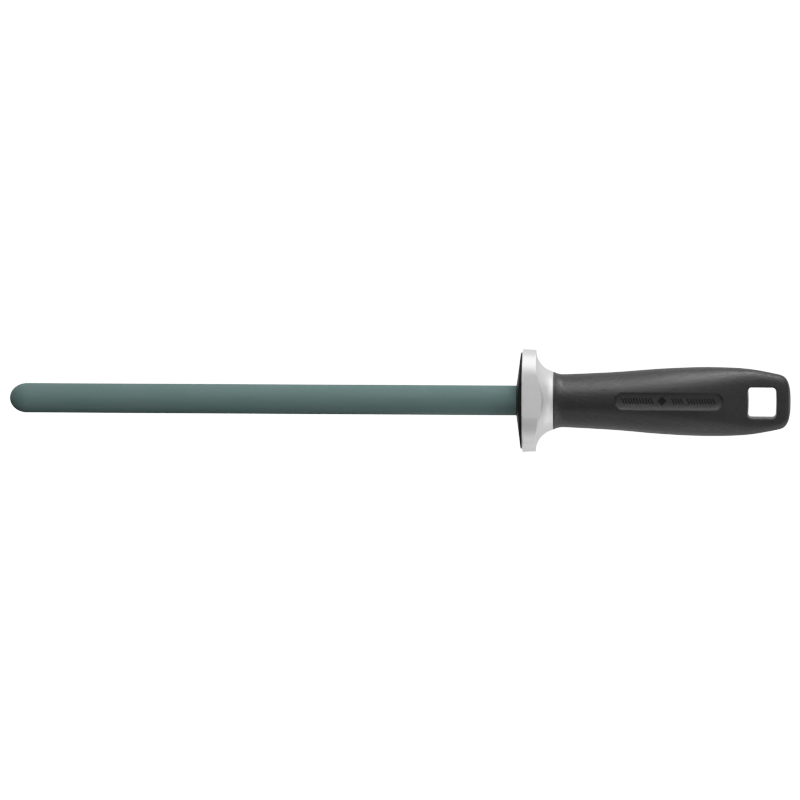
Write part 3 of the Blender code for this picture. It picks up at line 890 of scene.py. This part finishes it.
def feature_points(outline, all_walked, all_distances):
    """An outline of (distance, y) points in the same form as the grid's."""
    made = []
    for distance, y in outline:
        walked, section_y, _ = section_walk(distance)
        across = float(np.interp(abs(y), section_y, walked)) * (1 if y >= 0 else -1)
        along = float(np.interp(distance, all_distances, all_walked))
        made.append((along, across, distance, y, float(plain_height(distance, y))))
    return np.array(made)


def upper_mesh():
    """Triangles of the grip's upper half that keep the outlines of the hole, the recess and the marks."""
    rows, pole, walks = grip_grid()
    grid = np.concatenate(rows + [pole])
    fillet_shares = [1 - cos(i / HOLE_FILLET_STEPS * pi / 2) for i in range(HOLE_FILLET_STEPS + 1)]
    hole_rings = [hole_ring(HOLE_FILLET * share) for share in fillet_shares]
    recess_rings = [recess_ring(-inset) for inset in RECESS_RING_INSETS]
    rings = [feature_points(ring, *walks) for ring in hole_rings + recess_rings + mark_rings()]

    edge = np.zeros(len(grid), bool)
    start = 0
    left, right = [], []
    for row in rows:
        left.append(start)
        right.append(start + len(row) - 1)
        edge[[start, start + len(row) - 1]] = True
        start += len(row)
    front = list(range(len(rows[0])))
    edge[front] = True
    edge[-1] = True
    borders = [front, left + [len(grid) - 1], right + [len(grid) - 1]]

    distance, y = grid[:, DISTANCE], grid[:, SIDE]
    hole = hole_distance(distance, y)
    recess = recess_distance(distance, y)
    marks = np.minimum(np.abs(tick_distance(distance, y)), np.abs(lozenge_distance(distance, y)))
    off_recess_edge = recess > -RECESS_RING_INSETS[0] + RING_MARGIN
    off_recess_edge |= recess < -RECESS_RING_INSETS[-1] - RING_MARGIN
    keep = (hole > HOLE_FILLET + RING_MARGIN) & off_recess_edge
    keep &= (marks > MARK_WALL / 2 + MARK_MARGIN) | (recess > 0)
    keep |= edge
    place = np.cumsum(keep) - 1
    points = [grid[keep]]
    edges = []
    for border in borders:
        edges += [(int(place[a]), int(place[b])) for a, b in zip(border, border[1:])]
    count = int(keep.sum())
    hole_loop = list(range(count, count + len(rings[0])))
    for ring in rings:
        n = len(ring)
        edges += [(count + i, count + (i + 1) % n) for i in range(n)]
        points.append(ring)
        count += n
    points = np.concatenate(points)

    flat = [Vector((p[ALONG] / MM, p[ACROSS] / MM)) for p in points]
    _, _, faces, origin, _, _ = delaunay_2d_cdt(flat, edges, [], 0, MERGE_DISTANCE_MM)
    source = np.array([o[0] for o in origin])
    points = points[source]
    back = {int(s): i for i, s in enumerate(source)}
    faces = np.array(faces)
    middle = points[faces].mean(axis=1)
    side = np.array([section_walk(d)[0][-1] for d in middle[:, DISTANCE]])
    inside = np.abs(middle[:, ACROSS]) < side * SIDE_TOLERANCE
    inside &= hole_distance(middle[:, DISTANCE], middle[:, SIDE]) > -HOLE_TOLERANCE
    faces = faces[inside]
    loops = {
        "front": [back[int(place[i])] for i in front],
        "hole": [back[i] for i in hole_loop],
        "seam": sorted({back[int(place[i])] for i in left + right + [len(grid) - 1]}),
    }
    return points, faces, loops


def draft_moves(distance, y):
    """Moves, in x and y, that bring points of the hole's outline inwards by the wall's draft."""
    across = y - HOLE_LINE
    x = distance - HOLE_CENTRE - hole_bow(across)
    inner = np.array([HOLE_LENGTH / 2 - HOLE_CORNER, HOLE_WIDTH / 2 - HOLE_CORNER])
    here = np.stack([x, across], axis=1)
    outwards = here - np.clip(here, -inner, inner)
    return -HOLE_DRAFT * outwards / np.linalg.norm(outwards, axis=1, keepdims=True)


def hole_wall(rim, mirrored_rim, rim_points, inwards, first):
    """Rings of points down the hole's wall, numbered from first on, and the quads from rim to rim."""
    rings = []
    levels = [rim]
    for share in HOLE_WALL_SHARES:
        ring = rim_points * (1, 1, 1 - 2 * share)
        ring[:, :2] += inwards * share
        rings.append(ring)
        levels.append(list(range(first, first + len(rim))))
        first += len(rim)
    levels.append(mirrored_rim)
    quads = [quad for high, low in zip(levels, levels[1:]) for quad in ring_quads(high, low)]
    return rings, quads


def front_bore(around, front_points, first):
    """Rings and the last point of the front face and the bore, numbered from first on, and their faces."""
    radius = half_depth(0.0)
    bore_rings = (
        (-JOINT_CHAMFER, radius - JOINT_CHAMFER),
        (-JOINT_CHAMFER, GRIP_BORE),
        (GRIP_BORE_END, GRIP_BORE),
    )
    rings = []
    faces = []
    previous = around
    for at, ring_radius in bore_rings:
        rings.append(front_points * (0, ring_radius / radius, ring_radius / radius) + (at, 0, 0))
        current = list(range(first, first + len(around)))
        faces += ring_quads(previous, current)
        first += len(around)
        previous = current
    rings.append(np.array([[GRIP_BORE_END, 0, 0]]))
    count = len(previous)
    faces += [(previous[i], previous[(i + 1) % count], first) for i in range(count)]
    return rings, faces


def make_grip():
    flat_points, faces, loops = upper_mesh()
    distance, y = flat_points[:, DISTANCE], flat_points[:, SIDE]
    height = upper_height(distance, y, flat_points[:, HEIGHT])
    height[loops["seam"]] = 0
    upper = np.stack([distance, y, height], axis=1)
    count = len(upper)

    # The lower half is the mirror image of the upper, and shares the seam's points
    mirror = np.arange(count) + count
    mirror[loops["seam"]] = loops["seam"]
    corner = upper[faces]
    facing = np.cross(corner[:, 1] - corner[:, 0], corner[:, 2] - corner[:, 0])[:, 2]
    faces[facing < 0] = faces[facing < 0][:, ::-1]
    all_faces = [tuple(int(i) for i in face) for face in faces]
    all_faces += [tuple(int(mirror[i]) for i in face[::-1]) for face in faces]
    points = np.concatenate([upper, upper * (1, 1, -1)])

    rim = loops["hole"]
    inwards = draft_moves(distance[rim], y[rim])
    rings, quads = hole_wall(rim, [int(mirror[i]) for i in rim], upper[rim], inwards, len(points))
    points = np.concatenate([points, *rings])
    all_faces += quads

    front = loops["front"]
    around = front + [int(mirror[i]) for i in front[-2:0:-1]]
    rings, front_faces = front_bore(around, points[around], len(points))
    points = np.concatenate([points, *rings])
    all_faces += front_faces

    start = JOINT_GAP / 2 + JOINT_CHAMFER
    points[:, 0] = start + points[:, 0] * (1 - start / GRIP_LENGTH)
    points += (NOSE_X + JOINT, 0, AXIS_Z)
    piece = add_piece("grip_body", points, all_faces, grip_material(), "grip_plastic", "grip")
    in_recess = np.clip(-recess_distance(distance, y) / RECESS_BLEND, 0, 1)
    keep_share(piece, "recess", np.tile(in_recess, 2))
    keep_share(piece, "marks", np.tile(mark_share(distance, y), 2))
    return piece


# -------------------------------------------------------------------------------- inner pieces


def dress_inner_pieces():
    """Dress the inner CAD pieces as they are: name, colour, roughness, metallic and size of mottle."""
    looks = {
        "rod_bond": ("epoxy", (0.55, 0.50, 0.38), 0.45, 0.0, 2.0),
        "rod_end_cushion": ("cushion_rubber", (0.05, 0.05, 0.05), 0.8, 0.0, 0.8),
        "handle_core": ("core_nylon", (0.16, 0.16, 0.15), 0.5, 0.0, 1.2),
        "guard_washer": ("washer_steel", (0.55, 0.54, 0.52), 0.32, 1.0, 0.6),
        "rod_seal": ("seal_rubber", (0.02, 0.02, 0.02), 0.6, 0.0, 0.7),
    }
    for node, look in looks.items():
        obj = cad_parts[node]
        obj.data.materials.clear()
        obj.data.materials.append(inner_material(*look))


# -------------------------------------------------------------------------------- studio


VIEW_WIDTH = 362.3 * MM
LENS_MM = 600.0
SENSOR_MM = 36.0
CAMERA_ROLL = radians(0.26)
CAMERA_ABOUT_X = radians(2.2)
CAMERA_ABOUT_Y = radians(1.66)
CAMERA_AIM_Y = -0.1 * MM
CAMERA_NEAREST = 0.1
CAMERA_FARTHEST = 20


def make_camera():
    data = bpy.data.cameras.new("camera")
    data.lens = LENS_MM
    data.sensor_width = SENSOR_MM
    camera = bpy.data.objects.new("camera", data)
    bpy.context.scene.collection.objects.link(camera)
    reach = VIEW_WIDTH / 2 / (SENSOR_MM / 2 / LENS_MM)
    aim = Vector(((cad_low.x + cad_high.x) / 2, CAMERA_AIM_Y, AXIS_Z))
    turn = Euler((-CAMERA_ABOUT_X, CAMERA_ABOUT_Y, CAMERA_ROLL))
    camera.location = aim + turn.to_matrix() @ Vector((0, 0, reach))
    camera.rotation_euler = turn
    data.clip_start = CAMERA_NEAREST
    data.clip_end = CAMERA_FARTHEST
    bpy.context.scene.camera = camera


# Studio lights: long soft strips that the tool sees over a span of elevations, in degrees, on the +Y side
# (side 1) or the -Y side (side -1). Middle and length are along X. The end light stands past the grip's end,
# and its length is along Y.
STRIP_DISTANCE = 0.5
SHOULDER_START = 0.3
WHITE_POINT = 3.2
WHITE_LEVEL = 2.24
WHITE_LIFT_POWER = 6
FLOOR_GLOW = 0.76
STRIPS = (
    {"name": "key_low", "middle": 0.3, "length": 0.3, "side": 1, "span": (0, 10), "brightness": 0.65},
    {"name": "key_grip", "middle": 0.18, "length": 0.1, "side": 1, "span": (0, 20), "brightness": 4.6},
    {"name": "key", "middle": 0.0, "length": 0.3, "side": 1, "span": (20, 46), "brightness": 1.23},
    {"name": "key_left", "middle": -0.3, "length": 0.3, "side": 1, "span": (20, 46), "brightness": 0.33},
    {"name": "key_right", "middle": 0.3, "length": 0.3, "side": 1, "span": (10, 60), "brightness": 0.55},
    {"name": "key_far_low", "middle": 0.6, "length": 0.3, "side": 1, "span": (0, 10), "brightness": 0.58},
    {"name": "key_far", "middle": 0.6, "length": 0.3, "side": 1, "span": (46, 78), "brightness": 0.29},
    {"name": "key_high", "middle": -0.3, "length": 0.3, "side": 1, "span": (46, 78), "brightness": 1.0},
    {"name": "fill_low", "middle": 0.25, "length": 0.45, "side": -1, "span": (0, 10), "brightness": 0.69},
    {"name": "fill", "middle": 0.25, "length": 0.45, "side": -1, "span": (20, 46), "brightness": 0.4},
    {"name": "fill_left", "middle": -0.2, "length": 0.45, "side": -1, "span": (32, 62), "brightness": 0.31},
    {"name": "fill_far_low", "middle": 0.6, "length": 0.3, "side": -1, "span": (0, 5), "brightness": 2.0},
    {"name": "fill_far", "middle": 0.6, "length": 0.3, "side": -1, "span": (5, 46), "brightness": 0.3},
    {"name": "fill_high", "middle": 0.6, "length": 0.3, "side": -1, "span": (46, 78), "brightness": 0.56},
    {"name": "overhead", "middle": 0.2, "length": 0.45, "side": 1, "span": (80, 100), "brightness": 0.29},
)
END_LIGHT = {"name": "end_light", "middle": 0.1, "length": 0.5, "span": (5, 30), "brightness": 0.145}
FLOOR_REACH = 6.0
CARD_REACH = 2.0
CARD_DROP = 0.6 * MM
CARD_BRIGHTNESS = {1: 0.26, -1: 0.24}


def soft_light(look, along, away):
    """An evenly bright rectangle aimed at the tool's axis: lying along one direction, away in another."""
    low, high = look["span"]
    elevation = radians((low + high) / 2)
    outwards = away * cos(elevation) + Vector((0, 0, sin(elevation)))
    data = bpy.data.lights.new(look["name"], "AREA")
    data.shape = "RECTANGLE"
    data.size = look["length"]
    data.size_y = 2 * STRIP_DISTANCE * tan(radians(high - low) / 2)
    data.energy = look["brightness"] * data.size * data.size_y * pi
    light = bpy.data.objects.new(look["name"], data)
    light.location = Vector((look["middle"], 0, AXIS_Z)) + outwards * STRIP_DISTANCE
    light.rotation_euler = Matrix((along, outwards.cross(along), outwards)).transposed().to_euler()
    light.visible_camera = False
    bpy.context.scene.collection.objects.link(light)


def make_lights():
    for strip in STRIPS:
        soft_light(strip, along=Vector((1, 0, 0)), away=Vector((0, strip["side"], 0)))
    soft_light(END_LIGHT, along=Vector((0, 1, 0)), away=Vector((1, 0, 0)))


def make_bounce_card(side, start):
    """Light thrown back by the floor on one side of the tool, from x = start on: a glowing card under it."""
    mesh = bpy.data.meshes.new("bounce_card")
    x, y, z = CARD_REACH, side * CARD_REACH, -CARD_DROP
    mesh.from_pydata([(start, 0, z), (x, 0, z), (x, y, z), (start, y, z)], [], [(0, 1, 2, 3)])
    material = bpy.data.materials.new("bounce_card")
    material.use_nodes = True
    tree = material.node_tree
    tree.nodes.clear()
    out = tree.nodes.new("ShaderNodeOutputMaterial")
    glow = tree.nodes.new("ShaderNodeEmission")
    glow.inputs["Strength"].default_value = CARD_BRIGHTNESS[side]
    tree.links.new(glow.outputs[0], out.inputs["Surface"])
    mesh.materials.append(material)
    card = bpy.data.objects.new("bounce_card", mesh)
    card.visible_camera = False
    card.visible_shadow = False
    bpy.context.scene.collection.objects.link(card)


def make_floor():
    mesh = bpy.data.meshes.new("floor")
    corners = [(x * FLOOR_REACH, y * FLOOR_REACH, 0) for x, y in ((-1, -1), (1, -1), (1, 1), (-1, 1))]
    mesh.from_pydata(corners, [], [(0, 1, 2, 3)])
    s = Shader("pale_floor")
    s.hold("Base Color", (0.8, 0.8, 0.8, 1))
    s.hold("Roughness", 0.9)
    s.hold("Specular IOR Level", 0.0)
    s.hold("Emission Color", (1, 1, 1, 1))
    s.hold("Emission Strength", FLOOR_GLOW)
    mesh.materials.append(s.material)
    floor = bpy.data.objects.new("floor", mesh)
    bpy.context.scene.collection.objects.link(floor)
    floor.visible_diffuse = False
    floor.visible_glossy = False


def make_world():
    """A surround that the camera sees as bright as the floor, and that gives no light of its own."""
    world = bpy.data.worlds.new("studio")
    bpy.context.scene.world = world
    world.use_nodes = True
    tree = world.node_tree
    tree.nodes.clear()
    out = tree.nodes.new("ShaderNodeOutputWorld")
    seen = tree.nodes.new("ShaderNodeBackground")
    seen.inputs["Strength"].default_value = FLOOR_GLOW
    seen.inputs["Color"].default_value = (1, 1, 1, 1)
    unseen = tree.nodes.new("ShaderNodeBackground")
    unseen.inputs["Strength"].default_value = 0.0
    mix = tree.nodes.new("ShaderNodeMixShader")
    path = tree.nodes.new("ShaderNodeLightPath")
    tree.links.new(path.outputs["Is Camera Ray"], mix.inputs[0])
    tree.links.new(unseen.outputs[0], mix.inputs[1])
    tree.links.new(seen.outputs[0], mix.inputs[2])
    tree.links.new(mix.outputs[0], out.inputs[0])


def shoulder(brightness):
    """Shown brightness on the film-like shoulder, which nears white ever more slowly."""
    rise = 1 - SHOULDER_START
    return 1 - rise * exp((SHOULDER_START - brightness) / rise)


def tone(brightness):
    """Shown brightness: plain up to SHOULDER_START, then on the shoulder, and white from WHITE_LEVEL on."""
    if brightness <= SHOULDER_START:
        return brightness
    lift = (1 - shoulder(WHITE_LEVEL)) * (brightness / WHITE_LEVEL) ** WHITE_LIFT_POWER
    return min(1.0, shoulder(brightness) + lift)


def set_tones():
    """The view's curve. It takes brightnesses up to 1 shown unit, so the lights' own unit is WHITE_POINT."""
    view = bpy.context.scene.view_settings
    view.view_transform = "Standard"
    view.look = "None"
    view.use_curve_mapping = True
    curve = view.curve_mapping.curves[3]
    steps = 40
    for i in range(1, steps):
        share = (i / steps) ** 2
        curve.points.new(share, tone(share * WHITE_POINT))
    view.curve_mapping.update()


def make_studio():
    make_camera()
    make_floor()
    make_world()
    make_lights()
    make_bounce_card(1, -CARD_REACH)
    make_bounce_card(-1, 0)
    set_tones()


make_studio()
make_rod()
make_guard()
make_cover()
make_grip()
dress_inner_pieces()
